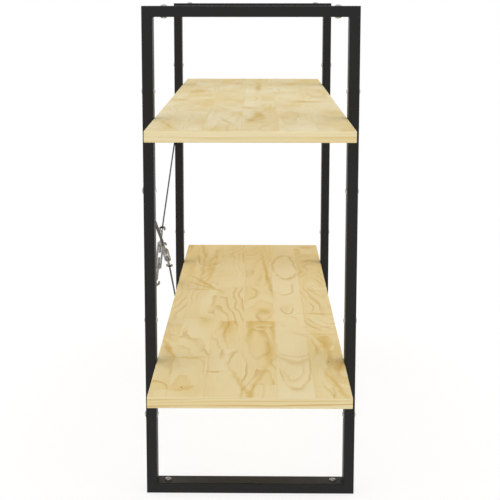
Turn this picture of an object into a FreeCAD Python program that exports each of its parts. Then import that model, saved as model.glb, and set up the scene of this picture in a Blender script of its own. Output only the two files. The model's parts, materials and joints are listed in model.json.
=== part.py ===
import FreeCAD, Part
import math
import os
import re
import Sketcher

# A free-standing bookcase. Two welded frames of rectangular tube carry two pine shelves,
# and two tightened diagonals cross behind the lower bay.
# The origin is on the floor under the middle. X runs along the shelves, Y points to the
# back and Z points up. All lengths are in millimetres.

SIZES = {
    # Shelves
    "shelf_length": 1000,
    "shelf_thickness": 15,
    "shelf_play": 0.3,
    "shelf_arris": 1.0,
    "lower_shelf_top": 195,
    "upper_shelf_drop": 155,
    # Tube frames
    "case_depth": 300,
    "case_height": 700,
    "frame_inset": 150,
    "tube_width": 30,
    "tube_depth": 15,
    "tube_wall": 1.2,
    "tube_corner": 1.5,
    # Places of the frame bolts, measured from the shelf tops and the outer corners
    "bolt_below_lower_shelf": 80,
    "bolt_above_lower_shelf": 60,
    "bolt_below_upper_shelf": 102.5,
    "bolt_above_upper_shelf": 37.5,
    "bar_bolt_inset": 30,
    # Frame bolts, barrel nuts, base screws and rivet nuts
    "head_diameter": 9.5,
    "head_rim": 0.6,
    "head_dome": 1.8,
    "bolt_diameter": 4,
    "bolt_end_gap": 3,
    "barrel_diameter": 6,
    "barrel_end_gap": 1,
    "rivet_diameter": 7,
    "rivet_flange": 0.8,
    "rivet_floor_gap": 4,
    "hole_clearance": 0.2,
    "thread_clearance": 0.06,
    # Wood screws that hold the shelves down on the rails
    "screw_diameter": 4,
    "screw_head_diameter": 8,
    "screw_head_rim": 1.0,
    "screw_head_dome": 1.4,
    "screw_point": 4,
    "screw_cover": 4.5,
    "screw_spread": 180,
    # Brace strips
    "strip_width": 10,
    "strip_thickness": 1,
    "strip_end": 6.5,
    "strip_bend_gap": 1,
    "strip_end_margin": 4,
    "strip_end_rounding": 4.5,
    # Turnbuckles
    "turnbuckle_length": 70,
    "turnbuckle_width": 11,
    "turnbuckle_gap": 0.5,
    "rail_width": 2.6,
    "rail_thickness": 3,
    "boss_diameter": 8.5,
    "boss_length": 9,
    "thread_engaged": 27,
    "thread_shown": 30,
    "thread_pitch": 0.7,
    "loosening_turns": 4,
    # Turnbuckle hooks
    "hook_wire": 3.8,
    "hook_gap": 4.6,
    "hook_leg": 3,
    "hook_tip": 3,
    "hook_play": 0.3,
}

DERIVED = {
    # Shelves and frames
    "upper_shelf_top": "case_height - upper_shelf_drop",
    "inner_depth": "case_depth - 2 * tube_depth",
    "frame_pitch": "shelf_length - 2 * frame_inset - tube_width",
    # Bolt heights on the posts
    "first_bolt": "lower_shelf_top - bolt_below_lower_shelf",
    "second_bolt": "lower_shelf_top + bolt_above_lower_shelf",
    "third_bolt": "upper_shelf_top - bolt_below_upper_shelf",
    "fourth_bolt": "upper_shelf_top + bolt_above_upper_shelf",
    # Lengths and holes of the fasteners
    "barrel_length": "tube_depth - barrel_end_gap",
    "rivet_length": "tube_depth - tube_wall - rivet_floor_gap",
    "thread_hole": "bolt_diameter + 2 * thread_clearance",
    "barrel_hole": "barrel_diameter + 2 * hole_clearance",
    "rivet_hole": "rivet_diameter + 2 * hole_clearance",
    "screw_hole": "screw_diameter + 2 * hole_clearance",
    "pilot_hole": "screw_diameter + 2 * thread_clearance",
    "screw_bite": "shelf_thickness - screw_cover",
    # Cuts that pass right through a tube or a strip, measured over both sides of their sketch
    "tube_cut": "2 * (tube_depth + tube_wall)",
    "strip_cut": "2 * (brace_shift + 2 * strip_thickness)",
    # Diagonals, from bolt to bolt in the plane of the back
    "brace_rise": "third_bolt - first_bolt",
    "brace_span": "sqrt(frame_pitch ^ 2 + brace_rise ^ 2)",
    "brace_angle": "atan(brace_rise / frame_pitch)",
    "brace_height": "(first_bolt + third_bolt) / 2",
    "strip_run": "(tube_width / 2 + strip_width / 2 * sin(brace_angle)) / cos(brace_angle)",
    "strip_bend": "strip_run + strip_bend_gap",
    # Each turnbuckle spins clear of the other: one stands outside the strips' plane, one inside
    "rail_sweep": "sqrt((turnbuckle_width / 2) ^ 2 + (rail_thickness / 2) ^ 2)",
    "brace_shift": "max(rail_sweep; boss_diameter / 2) + turnbuckle_gap / 2",
    # Hook stations along a turnbuckle's axis, from its middle
    "hook_radius": "(hook_gap + hook_wire) / 2",
    "hook_bore": "hook_wire + 2 * thread_clearance",
    "neck_start": "turnbuckle_length / 2 + thread_shown",
    "neck_turn": "acos(1 / 2)",
    "leg_start": "neck_start + 2 * hook_radius * sin(neck_turn)",
    "bowl_centre": "leg_start + hook_leg",
    "hook_reach": "bowl_centre + hook_radius",
    "hook_travel": "thread_pitch * loosening_turns",
    # Slot at the inner end of a strip, with room for the hook to move out
    "slot_width": "hook_wire + 2 * hook_play",
    "slot_start": "hook_reach - hook_wire / 2 - hook_play",
    "slot_end": "hook_reach + hook_wire / 2 + hook_travel + hook_play",
}

# Size of a sketch's lines before its expressions take hold, and what counts as no distance
ROUGH_SIZE = 1.0
NO_DISTANCE = 1e-6

VECTOR = FreeCAD.Vector
UPRIGHT = FreeCAD.Rotation()
ALONG_X = FreeCAD.Rotation(VECTOR(0, 1, 0), 90)
TO_BACK = FreeCAD.Rotation(VECTOR(1, 0, 0), -90)
TO_FRONT = FreeCAD.Rotation(VECTOR(1, 0, 0), 90)
DOWN = FreeCAD.Rotation(VECTOR(1, 0, 0), 180)

doc = FreeCAD.newDocument("bookcase")
sheet = doc.addObject("Spreadsheet::Sheet", "sizes")
for row, (alias, value) in enumerate(SIZES.items(), start=1):
    sheet.set(f"A{row}", alias.replace("_", " "))
    sheet.set(f"B{row}", str(value))
    sheet.setAlias(f"B{row}", alias)
doc.recompute()

sub_parts = []


def expression(text):
    """Spell out derived lengths and point every driving size at its cell."""

    def spell(match):
        word = match.group()
        if word in DERIVED:
            return f"({expression(DERIVED[word])})"
        return f"sizes.{word}" if word in SIZES else word

    return re.sub(r"[a-z_]+", spell, text)


def bind(item, sizes):
    """Tie properties of an object to the sheet."""
    for name, text in sizes.items():
        item.setExpression(name, expression(text))


def place(item, base, rotation=UPRIGHT):
    """Turn an object and tie its place to the sheet."""
    item.Placement = FreeCAD.Placement(VECTOR(), rotation)
    bind(item, {f"Placement.Base.{axis}": text for axis, text in zip("xyz", base)})
    return item


def place_on_brace(item, turn, depth):
    """Lay an object along a diagonal: its X axis turns about Y by the given angle."""
    place(item, ("0", depth, "brace_height"), FreeCAD.Rotation(VECTOR(0, 1, 0), 1))
    bind(item, {"Placement.Rotation.Angle": turn})
    return item


# Sketches and features of a body


def new_sketch(body, name, role):
    """Start a sketch on one of the body's own planes."""
    sketch = body.newObject("Sketcher::SketchObject", name)
    plane = next(item for item in body.Origin.OriginFeatures if item.Role == role)
    sketch.AttachmentSupport = [(plane, "")]
    sketch.MapMode = "FlatFace"
    return sketch


def fix_point(sketch, geometry, point, spot):
    """Hold a point of a sketch at a spot measured from the sketch's origin."""
    for kind, text in zip(("DistanceX", "DistanceY"), spot):
        index = sketch.addConstraint(Sketcher.Constraint(kind, -1, 1, geometry, point, ROUGH_SIZE))
        sketch.setExpression(f"Constraints[{index}]", expression(text))


def fix_diameter(sketch, geometry, text):
    """Hold the diameter of a circle or arc."""
    index = sketch.addConstraint(Sketcher.Constraint("Diameter", geometry, 2 * ROUGH_SIZE))
    sketch.setExpression(f"Constraints[{index}]", expression(text))


def draw_polygon(sketch, corners):
    """Draw a closed outline of straight sides through the given corners."""
    count = len(corners)
    turns = [2 * math.pi * index / count for index in range(count)]
    spots = [VECTOR(math.cos(turn), math.sin(turn), 0) for turn in turns]
    for index, spot in enumerate(spots):
        sketch.addGeometry(Part.LineSegment(spot, spots[(index + 1) % count]), False)
    for index in range(count):
        follower = (index + 1) % count
        sketch.addConstraint(Sketcher.Constraint("Coincident", index, 2, follower, 1))
    for index, corner in enumerate(corners):
        fix_point(sketch, index, 1, corner)


def draw_circle(sketch, centre, diameter):
    """Draw a circle round the given centre."""
    circle = sketch.addGeometry(Part.Circle(VECTOR(), VECTOR(0, 0, 1), 1), False)
    fix_point(sketch, circle, 3, centre)
    fix_diameter(sketch, circle, diameter)


def draw_slot(sketch, start, end, width):
    """Draw a round-ended slot along the sketch's X axis, from end to end."""
    quarter = math.pi / 2
    first_circle = Part.Circle(VECTOR(-1, 0, 0), VECTOR(0, 0, 1), 1)
    last_circle = Part.Circle(VECTOR(1, 0, 0), VECTOR(0, 0, 1), 1)
    first = sketch.addGeometry(Part.ArcOfCircle(first_circle, quarter, 3 * quarter), False)
    near = sketch.addGeometry(Part.LineSegment(VECTOR(-1, -1, 0), VECTOR(1, -1, 0)), False)
    last = sketch.addGeometry(Part.ArcOfCircle(last_circle, -quarter, quarter), False)
    far = sketch.addGeometry(Part.LineSegment(VECTOR(1, 1, 0), VECTOR(-1, 1, 0)), False)
    for before, after in ((first, near), (near, last), (last, far), (far, first)):
        sketch.addConstraint(Sketcher.Constraint("Tangent", before, 2, after, 1))
    sketch.addConstraint(Sketcher.Constraint("Equal", first, last))
    fix_point(sketch, first, 3, (f"{start} + {width} / 2", "0"))
    fix_point(sketch, last, 3, (f"{end} - {width} / 2", "0"))
    fix_diameter(sketch, first, width)


def add_pad(body, sketch, length, side="Symmetric"):
    """Raise a sketch into a solid."""
    pad = body.newObject("PartDesign::Pad", f"{sketch.Name}_pad")
    pad.Profile = sketch
    pad.SideType = side
    bind(pad, {"Length": length})
    sketch.Visibility = False
    return pad


def cut_pocket(body, sketch, length, side="Symmetric", upwards=False):
    """Cut a sketch out of the body."""
    pocket = body.newObject("PartDesign::Pocket", f"{sketch.Name}_cut")
    pocket.Profile = sketch
    pocket.SideType = side
    pocket.Reversed = upwards
    bind(pocket, {"Length": length})
    sketch.Visibility = False
    return pocket


def round_edges(body, feature, radius, chosen):
    """Round the feature's straight edges whose direction passes the given test."""
    doc.recompute()
    names = []
    for index, edge in enumerate(feature.Shape.Edges, start=1):
        start, end = (vertex.Point for vertex in edge.Vertexes)
        if chosen(start, end):
            names.append(f"Edge{index}")
    fillet = body.newObject("PartDesign::Fillet", f"{feature.Name}_round")
    fillet.Base = (feature, names)
    bind(fillet, {"Radius": radius})
    return fillet


# Frame tubes


def runs_along_x(start, end):
    """Tell whether an edge runs along the body's X axis."""
    return abs(end.y - start.y) + abs(end.z - start.z) < NO_DISTANCE


def make_tube(label, length, mitre, holes, base, rotation):
    """Make a tube along X with its outer face at Y 0 and its ends cut back by the mitre.

    A hole is its place along the tube, its diameter and the walls that it passes.
    """
    body = doc.addObject("PartDesign::Body", label)
    outline = new_sketch(body, f"{label}_outline", "XY_Plane")
    draw_polygon(outline, (
        ("0", "0"),
        (length, "0"),
        (f"{length} - {mitre}", "tube_depth"),
        (mitre, "tube_depth"),
    ))
    pad = add_pad(body, outline, "tube_width")
    round_edges(body, pad, "tube_corner", runs_along_x)
    near = f"{mitre} * tube_wall / tube_depth"
    far = f"{mitre} * (tube_depth - tube_wall) / tube_depth"
    cavity = new_sketch(body, f"{label}_cavity", "XY_Plane")
    draw_polygon(cavity, (
        (near, "tube_wall"),
        (f"{length} - {near}", "tube_wall"),
        (f"{length} - {far}", "tube_depth - tube_wall"),
        (far, "tube_depth - tube_wall"),
    ))
    cut_pocket(body, cavity, "tube_width - 2 * tube_wall")
    for index, (spot, diameter, walls) in enumerate(holes, start=1):
        hole = new_sketch(body, f"{label}_hole_{index}", "XZ_Plane")
        draw_circle(hole, (spot, "0"), diameter)
        if walls == "inner":
            bind(hole, {"AttachmentOffset.Base.z": "-tube_depth"})
        cut_pocket(body, hole, "tube_depth" if walls == "inner" else "tube_cut")
    sub_parts.append(place(body, base, rotation))


# Each tube is turned so that its length runs from one outer corner of the loop to the next
# and its Y axis points into the loop.
UP_BACK_POST = FreeCAD.Rotation(VECTOR(0, 0, 1), VECTOR(0, -1, 0), VECTOR(1, 0, 0), "XYZ")
UP_FRONT_POST = FreeCAD.Rotation(VECTOR(0, 0, 1), VECTOR(0, 1, 0), VECTOR(-1, 0, 0), "XYZ")
OVER_TOP = FreeCAD.Rotation(VECTOR(0, 1, 0), VECTOR(0, 0, -1), VECTOR(-1, 0, 0), "XYZ")
ALONG_FLOOR = FreeCAD.Rotation(VECTOR(0, 1, 0), VECTOR(0, 0, 1), VECTOR(1, 0, 0), "XYZ")

POST_BOLTS = ("first_bolt", "second_bolt", "third_bolt", "fourth_bolt")
BRACE_BOLTS = ("first_bolt", "third_bolt")
BAR_BOLTS = ("bar_bolt_inset", "case_depth - bar_bolt_inset")
SHELF_TOPS = {"lower": "lower_shelf_top", "upper": "upper_shelf_top"}
FRAMES = {"left": "-frame_pitch / 2", "right": "frame_pitch / 2"}


def make_frame(side, middle):
    """Make one welded loop of four mitred tubes, with a rail under each shelf."""
    back = "case_depth / 2"
    front = "-case_depth / 2"
    post_holes = [(height, "barrel_hole", "both") for height in POST_BOLTS]
    make_tube(f"{side}_back_post", "case_height", "tube_depth", post_holes,
              (middle, back, "0"), UP_BACK_POST)
    make_tube(f"{side}_front_post", "case_height", "tube_depth", post_holes,
              (middle, front, "0"), UP_FRONT_POST)
    top_holes = [(spot, "barrel_hole", "both") for spot in BAR_BOLTS]
    make_tube(f"{side}_top_bar", "case_depth", "tube_depth", top_holes,
              (middle, front, "case_height"), OVER_TOP)
    bottom_holes = [(spot, "rivet_hole", "inner") for spot in BAR_BOLTS]
    make_tube(f"{side}_bottom_bar", "case_depth", "tube_depth", bottom_holes,
              (middle, front, "0"), ALONG_FLOOR)
    rail_holes = [
        (f"inner_depth / 2 {sign} screw_spread / 2", "screw_hole", "both") for sign in "-+"
    ]
    for level, top in SHELF_TOPS.items():
        make_tube(f"{side}_{level}_rail", "inner_depth", "0", rail_holes,
                  (middle, "-inner_depth / 2", f"{top} - shelf_thickness - tube_depth"), ALONG_FLOOR)


# Shelves


def make_shelf(label, top):
    """Make a board that fits between the posts, with blind pilot holes for the rail screws."""
    body = doc.addObject("PartDesign::Body", label)
    half_length = "shelf_length / 2"
    half_depth = "(inner_depth / 2 - shelf_play)"
    outline = new_sketch(body, f"{label}_outline", "XY_Plane")
    draw_polygon(outline, (
        (f"-{half_length}", f"-{half_depth}"),
        (half_length, f"-{half_depth}"),
        (half_length, half_depth),
        (f"-{half_length}", half_depth),
    ))
    board = add_pad(body, outline, "shelf_thickness", side="One side")
    round_edges(body, board, "shelf_arris", lambda start, end: True)
    pilots = new_sketch(body, f"{label}_pilots", "XY_Plane")
    for middle in FRAMES.values():
        for sign in ("-", ""):
            draw_circle(pilots, (middle, f"{sign}screw_spread / 2"), "pilot_hole")
    cut_pocket(body, pilots, "screw_bite + thread_clearance", side="One side", upwards=True)
    sub_parts.append(place(body, ("0", "0", f"{top} - shelf_thickness")))


# Round pieces made of primitives


def add_solid(kind, name, sizes, base=("0", "0", "0"), rotation=UPRIGHT):
    """Add a primitive with its sizes and place tied to the sheet."""
    item = doc.addObject(f"Part::{kind}", name)
    bind(item, sizes)
    return place(item, base, rotation)


def add_rod(name, diameter, length, base=("0", "0", "0"), rotation=UPRIGHT):
    """Add a round rod that starts at the base and runs along its own Z axis."""
    return add_solid("Cylinder", name, {"Radius": f"{diameter} / 2", "Height": length}, base, rotation)


def fuse(name, pieces):
    """Join touching solids into one."""
    whole = doc.addObject("Part::MultiFuse", name)
    whole.Shapes = pieces
    whole.Refine = True
    return whole


def cut(name, base, tool):
    """Take the tool out of the base."""
    result = doc.addObject("Part::Cut", name)
    result.Base = base
    result.Tool = tool
    return result


def dome_head(name, diameter, rim, dome):
    """Make the rim and the domed cap of a head that sits on Z 0."""
    ball = f"(({diameter} / 2) ^ 2 + {dome} ^ 2) / (2 * {dome})"
    cap = add_solid(
        "Sphere",
        f"{name}_cap",
        {"Radius": ball, "Angle1": f"asin(({ball} - {dome}) / ({ball}))"},
        ("0", "0", f"{rim} + {dome} - {ball}"),
    )
    return [add_rod(f"{name}_rim", diameter, rim), cap]


def make_frame_bolt():
    """Make a dome-headed bolt for the posts and top bars."""
    length = "tube_depth - bolt_end_gap"
    head = dome_head("frame_bolt", "head_diameter", "head_rim", "head_dome")
    shank = add_rod("frame_bolt_shank", "bolt_diameter", length, ("0", "0", f"-({length})"))
    return fuse("frame_bolt", head + [shank])


def make_barrel_nut():
    """Make a dome-headed nut whose barrel reaches through the tube to the bolt."""
    start = ("0", "0", "-barrel_length")
    head = dome_head("barrel_nut", "head_diameter", "head_rim", "head_dome")
    barrel = add_rod("barrel_nut_barrel", "barrel_diameter", "barrel_length", start)
    bore = add_rod("barrel_nut_bore", "thread_hole", "barrel_length", start)
    return cut("barrel_nut", fuse("barrel_nut_blank", head + [barrel]), bore)


def make_rivet_nut():
    """Make a flanged blind nut for the upper wall of a bottom bar."""
    start = ("0", "0", "-rivet_length")
    flange = add_rod("rivet_nut_flange", "head_diameter", "rivet_flange")
    barrel = add_rod("rivet_nut_barrel", "rivet_diameter", "rivet_length", start)
    bore = add_rod("rivet_nut_bore", "thread_hole", "rivet_length + rivet_flange", start)
    return cut("rivet_nut", fuse("rivet_nut_blank", [flange, barrel]), bore)


def make_base_screw():
    """Make a dome-headed screw as long as its rivet nut."""
    length = "rivet_length + rivet_flange"
    head = dome_head("base_screw", "head_diameter", "head_rim", "head_dome")
    shank = add_rod("base_screw_shank", "bolt_diameter", length, ("0", "0", f"-({length})"))
    return fuse("base_screw", head + [shank])


def make_shelf_screw():
    """Make a pan-headed wood screw that passes a rail and bites into a shelf."""
    length = "tube_depth + screw_bite - screw_point"
    head = dome_head("shelf_screw", "screw_head_diameter", "screw_head_rim", "screw_head_dome")
    shank = add_rod("shelf_screw_shank", "screw_diameter", length, ("0", "0", f"-({length})"))
    point = add_solid(
        "Cone",
        "shelf_screw_point",
        {"Radius1": "0", "Radius2": "screw_diameter / 2", "Height": "screw_point"},
        ("0", "0", f"-({length}) - screw_point"),
    )
    return fuse("shelf_screw", head + [shank, point])


def make_group(label, pattern, places):
    """Make one node of like fasteners, each a copy of the pattern at its own place."""
    copies = []
    for index, (base, rotation) in enumerate(places, start=1):
        copy = doc.addObject("App::Link", f"{label}_{index}")
        copy.LinkedObject = pattern
        copies.append(place(copy, base, rotation))
    group = doc.addObject("Part::Compound", label)
    group.Links = copies
    sub_parts.append(group)


def make_fasteners():
    """Make the bolts, nuts and screws of both frames."""
    post_bolts = []
    post_nuts = []
    top_bolts = []
    top_nuts = []
    base_screws = []
    base_nuts = []
    shelf_screws = []
    for middle in FRAMES.values():
        for height in POST_BOLTS:
            seat = "case_depth / 2"
            if height in BRACE_BOLTS:
                seat += " + strip_thickness"
            post_bolts.append(((middle, seat, height), TO_BACK))
            post_bolts.append(((middle, "-case_depth / 2", height), TO_FRONT))
            post_nuts.append(((middle, "inner_depth / 2", height), TO_FRONT))
            post_nuts.append(((middle, "-inner_depth / 2", height), TO_BACK))
        for spot in BAR_BOLTS:
            across = f"{spot} - case_depth / 2"
            top_bolts.append(((middle, across, "case_height"), UPRIGHT))
            top_nuts.append(((middle, across, "case_height - tube_depth"), DOWN))
            base_nuts.append(((middle, across, "tube_depth"), UPRIGHT))
            base_screws.append(((middle, across, "tube_depth + rivet_flange"), UPRIGHT))
        for top in SHELF_TOPS.values():
            for sign in ("-", ""):
                rail_bottom = f"{top} - shelf_thickness - tube_depth"
                shelf_screws.append(((middle, f"{sign}screw_spread / 2", rail_bottom), DOWN))
    frame_bolt = make_frame_bolt()
    barrel_nut = make_barrel_nut()
    make_group("post_bolts", frame_bolt, post_bolts)
    make_group("post_barrel_nuts", barrel_nut, post_nuts)
    make_group("top_bar_bolts", frame_bolt, top_bolts)
    make_group("top_bar_barrel_nuts", barrel_nut, top_nuts)
    make_group("base_screws", make_base_screw(), base_screws)
    make_group("base_rivet_nuts", make_rivet_nut(), base_nuts)
    make_group("shelf_screws", make_shelf_screw(), shelf_screws)


# Cross brace


def crosses_thickness(start, end):
    """Tell whether an edge stands across a strip's thickness, as those at its ends do."""
    return abs(end.x - start.x) + abs(end.z - start.z) < NO_DISTANCE


def make_strip(label, turn, shift):
    """Make a flat strip from a post bolt to a hook, bent off the post's face by the shift."""
    body = doc.addObject("PartDesign::Body", label)
    anchor = "brace_span / 2"
    bend = f"{anchor} - strip_bend"
    outer = f"{anchor} + strip_end"
    inner = "slot_start - strip_end_margin"
    profile = new_sketch(body, f"{label}_profile", "XY_Plane")
    draw_polygon(profile, (
        (outer, "0"),
        (outer, "strip_thickness"),
        (bend, "strip_thickness"),
        (inner, f"{shift} + strip_thickness"),
        (inner, shift),
        (bend, "0"),
    ))
    blank = add_pad(body, profile, "strip_width")
    round_edges(body, blank, "strip_end_rounding", crosses_thickness)
    hole = new_sketch(body, f"{label}_bolt_hole", "XZ_Plane")
    draw_circle(hole, (anchor, "0"), "bolt_diameter + 2 * hole_clearance")
    cut_pocket(body, hole, "strip_cut")
    slot = new_sketch(body, f"{label}_hook_slot", "XZ_Plane")
    draw_slot(slot, "slot_start", "slot_end", "slot_width")
    cut_pocket(body, slot, "strip_cut")
    sub_parts.append(place_on_brace(body, turn, "case_depth / 2"))


def make_turnbuckle(label, turn, depth):
    """Make an open body: two bosses with a bored thread, joined by two rails."""
    rails = []
    for side, start in (("back", "turnbuckle_width / 2 - rail_width"), ("front", "-turnbuckle_width / 2")):
        rails.append(add_solid(
            "Box",
            f"{label}_{side}_rail",
            {"Length": "turnbuckle_length", "Width": "rail_width", "Height": "rail_thickness"},
            ("-turnbuckle_length / 2", start, "-rail_thickness / 2"),
        ))
    bosses = []
    for end, start in (("upper", "turnbuckle_length / 2 - boss_length"), ("lower", "-turnbuckle_length / 2")):
        bosses.append(add_rod(f"{label}_{end}_boss", "boss_diameter", "boss_length",
                              (start, "0", "0"), ALONG_X))
    bore = add_rod(f"{label}_bore", "hook_bore", "turnbuckle_length",
                   ("-turnbuckle_length / 2", "0", "0"), ALONG_X)
    body = cut(label, fuse(f"{label}_blank", rails + bosses), bore)
    sub_parts.append(place_on_brace(body, turn, depth))


def add_bend(name, angle, base, start):
    """Add a piece of bent hook wire that turns about Z from the start angle."""
    sizes = {"Radius1": "hook_radius", "Radius2": "hook_wire / 2", "Angle3": angle}
    return add_solid("Torus", name, sizes, base, FreeCAD.Rotation(VECTOR(0, 0, 1), start))


def make_hook(label, turn, depth):
    """Make a threaded shank whose end is bent into an open hook in the plane of X and Y."""
    shank_start = "turnbuckle_length / 2 - thread_engaged"
    tip_start = "bowl_centre - hook_tip"
    wire = [
        add_rod(f"{label}_shank", "hook_wire", f"neck_start - ({shank_start})",
                (shank_start, "0", "0"), ALONG_X),
        add_bend(f"{label}_neck_out", "neck_turn", ("neck_start", "hook_radius", "0"), -90),
        add_bend(f"{label}_neck_back", "neck_turn", ("leg_start", "0", "0"), 90),
        add_rod(f"{label}_leg", "hook_wire", "hook_leg", ("leg_start", "hook_radius", "0"), ALONG_X),
        add_bend(f"{label}_bowl", "180", ("bowl_centre", "0", "0"), -90),
        add_rod(f"{label}_tip", "hook_wire", "hook_tip", (tip_start, "-hook_radius", "0"), ALONG_X),
        add_solid("Sphere", f"{label}_tip_end", {"Radius": "hook_wire / 2"},
                  (tip_start, "-hook_radius", "0")),
    ]
    sub_parts.append(place_on_brace(fuse(label, wire), turn, depth))


def make_diagonal(name, upper_turn, lower_turn, shift):
    """Make two strips, two hooks and the turnbuckle that draws them together."""
    depth = f"case_depth / 2 + strip_thickness / 2 + {shift}"
    make_turnbuckle(f"{name}_turnbuckle", upper_turn, depth)
    for half, turn in (("upper", upper_turn), ("lower", lower_turn)):
        make_hook(f"{name}_{half}_hook", turn, depth)
        make_strip(f"{name}_{half}_strip", turn, shift)


def check_document():
    """Stop if any object failed, or a sub-part has no sound shape."""
    for item in doc.Objects:
        if {"Invalid", "Error"} & set(item.State):
            raise RuntimeError(f"{item.Label} failed: {item.State}")
    for item in sub_parts:
        if item.Shape.isNull() or not item.Shape.isValid():
            raise RuntimeError(f"{item.Label} has no valid shape")


for frame_side, frame_middle in FRAMES.items():
    make_frame(frame_side, frame_middle)
for shelf_level, shelf_top in SHELF_TOPS.items():
    make_shelf(f"{shelf_level}_shelf", shelf_top)
make_fasteners()
make_diagonal("rising", "-brace_angle", "180 deg - brace_angle", "brace_shift")
make_diagonal("falling", "180 deg + brace_angle", "brace_angle", "(-brace_shift)")
doc.recompute()
check_document()

os.makedirs("parts", exist_ok=True)
for sub_part in sub_parts:
    sub_part.Shape.exportStep(f"parts/{sub_part.Label}.step")
    solids = sub_part.Shape.Solids
    print(f"{sub_part.Label}: {len(solids)} solids, {sub_part.Shape.Volume:.1f} cubic mm")
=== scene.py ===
import json
import math
from types import SimpleNamespace

import bpy
from bpy.props import FloatProperty, FloatVectorProperty, IntProperty, PointerProperty
from mathutils import Matrix, Vector


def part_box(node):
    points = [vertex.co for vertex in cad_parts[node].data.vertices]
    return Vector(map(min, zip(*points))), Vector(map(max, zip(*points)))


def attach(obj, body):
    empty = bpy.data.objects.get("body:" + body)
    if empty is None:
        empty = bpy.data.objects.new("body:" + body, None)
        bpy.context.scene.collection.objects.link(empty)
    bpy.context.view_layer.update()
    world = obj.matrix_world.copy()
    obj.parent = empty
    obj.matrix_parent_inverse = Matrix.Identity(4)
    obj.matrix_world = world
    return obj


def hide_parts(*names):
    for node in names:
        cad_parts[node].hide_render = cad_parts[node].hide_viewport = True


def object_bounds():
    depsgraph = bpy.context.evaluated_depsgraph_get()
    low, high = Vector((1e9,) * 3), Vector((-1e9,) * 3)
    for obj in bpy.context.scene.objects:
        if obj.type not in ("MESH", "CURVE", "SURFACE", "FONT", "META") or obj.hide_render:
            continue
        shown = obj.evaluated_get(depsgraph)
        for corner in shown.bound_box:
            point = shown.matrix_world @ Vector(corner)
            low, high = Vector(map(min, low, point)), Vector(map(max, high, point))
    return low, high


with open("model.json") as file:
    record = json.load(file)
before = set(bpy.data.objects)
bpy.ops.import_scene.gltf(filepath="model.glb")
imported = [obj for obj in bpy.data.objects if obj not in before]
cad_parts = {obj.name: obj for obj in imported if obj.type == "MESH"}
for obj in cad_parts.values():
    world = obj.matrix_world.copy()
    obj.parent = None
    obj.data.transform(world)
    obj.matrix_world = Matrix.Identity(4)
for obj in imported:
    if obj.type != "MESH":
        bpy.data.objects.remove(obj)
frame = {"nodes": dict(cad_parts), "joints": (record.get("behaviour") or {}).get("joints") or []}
CAD_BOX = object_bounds()

bl_info = {
    "name": "Bookcase finish",
    "version": (1, 0, 0),
    "blender": (4, 5, 0),
    "location": "View3D > Sidebar > Bookcase",
    "description": "Finishes, hardware and stage of a bookcase with tube frames and pine shelves",
    "category": "Object",
}

# Words that the names of the frame's pieces are made of

SIDES = ("left", "right")
LEVELS = ("lower", "upper")
DIAGONALS = ("rising", "falling")
TUBES = ("back_post", "front_post", "top_bar", "bottom_bar", "lower_rail", "upper_rail")

def colour(name, description, default):
    """Declare a colour that a user would change."""
    return FloatVectorProperty(
        name=name, description=description, subtype="COLOR", size=4, min=0, max=1, default=(*default, 1)
    )


def length(name, description, default):
    """Declare a length that a user would change."""
    return FloatProperty(
        name=name, description=description, unit="LENGTH", subtype="DISTANCE", default=default
    )


def number(name, description, default, **settings):
    """Declare another number that a user would change, such as an angle or a strength."""
    return FloatProperty(name=name, description=description, default=default, **settings)


class BookcaseColours(bpy.types.PropertyGroup):
    """Colours of the bookcase's finishes."""

    coat: colour("Frame coat", "Charcoal powder coat of the tube frames", (0.0046, 0.0047, 0.0043))
    strip: colour("Strip coat", "Coat of the flat brace strips", (0.012, 0.0118, 0.0112))
    bolt: colour("Bright plate", "Plated bolt and nut heads", (0.55, 0.553, 0.556))
    zinc: colour("Zinc plate", "Turnbuckles and hooks", (0.31, 0.31, 0.30))
    sapwood: colour("Sapwood", "Palest pine between the rings", (0.770, 0.676, 0.435))
    heartwood: colour("Heartwood", "Warmer pine of some staves", (0.695, 0.533, 0.228))
    latewood: colour("Latewood", "Dark line at the end of each growth ring", (0.540, 0.325, 0.065))
    knot: colour("Knot", "Heart of a knot", (0.280, 0.140, 0.055))


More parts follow.
